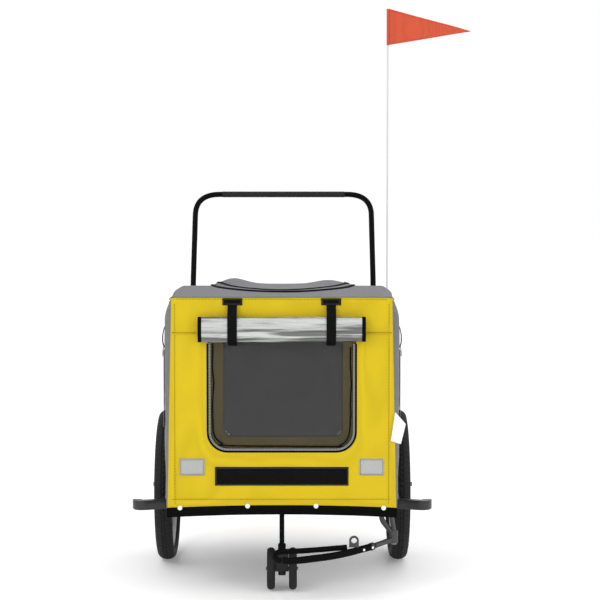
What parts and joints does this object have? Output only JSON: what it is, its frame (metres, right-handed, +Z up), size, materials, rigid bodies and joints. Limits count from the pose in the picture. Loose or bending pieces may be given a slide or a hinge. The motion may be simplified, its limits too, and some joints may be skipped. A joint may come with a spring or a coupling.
{
  "type": "bicycle trailer",
  "caption": "Fabric box-cabin bicycle trailer and stroller with two large rear wheels, a twin front caster, push handle, folded tow arm and pennant flag.",
  "frame": {"origin": "centre of the whole object's footprint on the ground, flag and tow arm included", "axes": "+Z up, -Y towards the front of the trailer, +X to the trailer's left side; the cabin's centre plane is at X = -0.074 m"},
  "size_m": [0.908, 0.9694, 1.502],
  "materials": {
    "painted_black_steel": "satin black powder coat",
    "bare_grey_steel": "grey zinc plated steel",
    "tyre_rubber": "matt black rubber",
    "yellow_oxford": "coated yellow oxford weave",
    "grey_oxford": "grey oxford weave",
    "floor_padding": "quilted dark grey fabric",
    "black_webbing": "black webbing and binding",
    "black_mesh": "black polyester mesh",
    "clear_film": "rolled clear vinyl film, glossy",
    "reflective_tape": "silver reflective tape",
    "black_plastic": "moulded black plastic",
    "floor_panel": "dark laminated board",
    "white_fibreglass": "white glass fibre rod",
    "orange_fabric": "bright orange thin fabric"
  },
  "bodies": {
    "chassis": {"base_frame": "painted_black_steel", "wheel_guard_left": "painted_black_steel", "wheel_guard_right": "painted_black_steel", "front_hoop": "painted_black_steel", "rear_hoop": "painted_black_steel", "roof_rail_left": "painted_black_steel", "roof_rail_right": "painted_black_steel", "handle_bracket_left": "painted_black_steel", "handle_bracket_right": "painted_black_steel", "caster_socket": "painted_black_steel", "tow_bracket": "painted_black_steel", "rear_axle_left": "bare_grey_steel", "rear_axle_right": "bare_grey_steel", "axle_nut_left": "bare_grey_steel", "axle_nut_right": "bare_grey_steel", "tow_pivot_pin": "bare_grey_steel", "front_panel": "yellow_oxford", "rear_panel": "yellow_oxford", "side_panel_left": "grey_oxford", "side_panel_right": "grey_oxford", "side_cover_roll_left": "grey_oxford", "side_cover_roll_right": "grey_oxford", "roof_panel": "grey_oxford", "roof_flap": "grey_oxford", "floor_mat": "floor_padding", "front_skirt": "black_webbing", "roll_strap_left": "black_webbing", "roll_strap_right": "black_webbing", "front_webbing": "black_webbing", "front_mesh_door": "black_mesh", "rear_mesh": "black_mesh", "side_mesh_left": "black_mesh", "side_mesh_right": "black_mesh", "rain_cover_roll": "clear_film", "reflector_left": "reflective_tape", "reflector_right": "reflective_tape", "handle_knob_left": "black_plastic", "handle_knob_right": "black_plastic", "flag_socket": "black_plastic", "floor_board": "floor_panel", "flag_pole": "white_fibreglass", "flag": "orange_fabric"},
    "left_wheel": {"rear_tyre_left": "tyre_rubber", "rear_rim_left": "bare_grey_steel", "rear_hub_left": "bare_grey_steel"},
    "right_wheel": {"rear_tyre_right": "tyre_rubber", "rear_rim_right": "bare_grey_steel", "rear_hub_right": "bare_grey_steel"},
    "caster": {"caster_stem": "painted_black_steel", "caster_fork": "black_plastic", "caster_axle": "bare_grey_steel"},
    "caster_left": {"caster_wheel_left": "tyre_rubber"},
    "caster_right": {"caster_wheel_right": "tyre_rubber"},
    "tow_arm": {"tow_arm_joint": "bare_grey_steel", "tow_arm_tube": "painted_black_steel", "hitch_hook": "painted_black_steel", "tow_eye": "bare_grey_steel"},
    "handle": {"handle_bar": "painted_black_steel"}
  },
  "joints": [
    {"name": "left_wheel_spin", "type": "hinge", "parent": "chassis", "child": "left_wheel", "pos_m": [0.234, 0.02471, 0.2], "axis": [1, 0, 0], "continuous": true},
    {"name": "right_wheel_spin", "type": "hinge", "parent": "chassis", "child": "right_wheel", "pos_m": [-0.382, 0.02471, 0.2], "axis": [1, 0, 0], "continuous": true},
    {"name": "caster_swivel", "type": "hinge", "parent": "chassis", "child": "caster", "pos_m": [-0.074, -0.36329, 0.15], "axis": [0, 0, 1], "continuous": true},
    {"name": "caster_left_spin", "type": "hinge", "parent": "caster", "child": "caster_left", "pos_m": [-0.047, -0.34529, 0.0515], "axis": [1, 0, 0], "continuous": true},
    {"name": "caster_right_spin", "type": "hinge", "parent": "caster", "child": "caster_right", "pos_m": [-0.101, -0.34529, 0.0515], "axis": [1, 0, 0], "continuous": true},
    {"name": "tow_arm_swing", "type": "hinge", "parent": "chassis", "child": "tow_arm", "pos_m": [0.1995, -0.37529, 0.13], "axis": [0, 0, 1], "range_deg": [0, 70]},
    {"name": "handle_fold", "type": "hinge", "parent": "chassis", "child": "handle", "pos_m": [-0.074, 0.31271, 0.575], "axis": [-1, 0, 0], "range_deg": [0, 150]}
  ]
}
